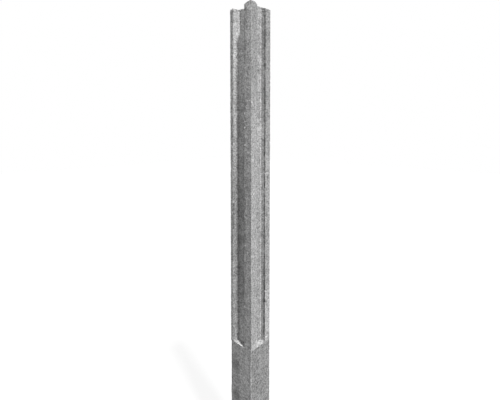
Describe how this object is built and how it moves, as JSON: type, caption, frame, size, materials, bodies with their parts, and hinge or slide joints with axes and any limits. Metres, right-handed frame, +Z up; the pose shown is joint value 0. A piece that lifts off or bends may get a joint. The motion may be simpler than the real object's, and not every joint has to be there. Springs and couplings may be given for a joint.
{
  "type": "corner fence post",
  "caption": "Square precast concrete corner post with a panel groove in each of two adjacent faces, above a plain foot for the ground.",
  "frame": {"origin": "middle of the foot's underside, at the middle of the square section", "axes": "+Z up along the post, -Y out of the front face with the deeper groove, +X out of the side face with the shallower groove"},
  "size_m": [0.125, 0.125, 2.1],
  "materials": {
    "grey_concrete": "matt, fine sandy grain"
  },
  "bodies": {
    "root": {"concrete_post": "grey_concrete"}
  },
  "joints": []
}
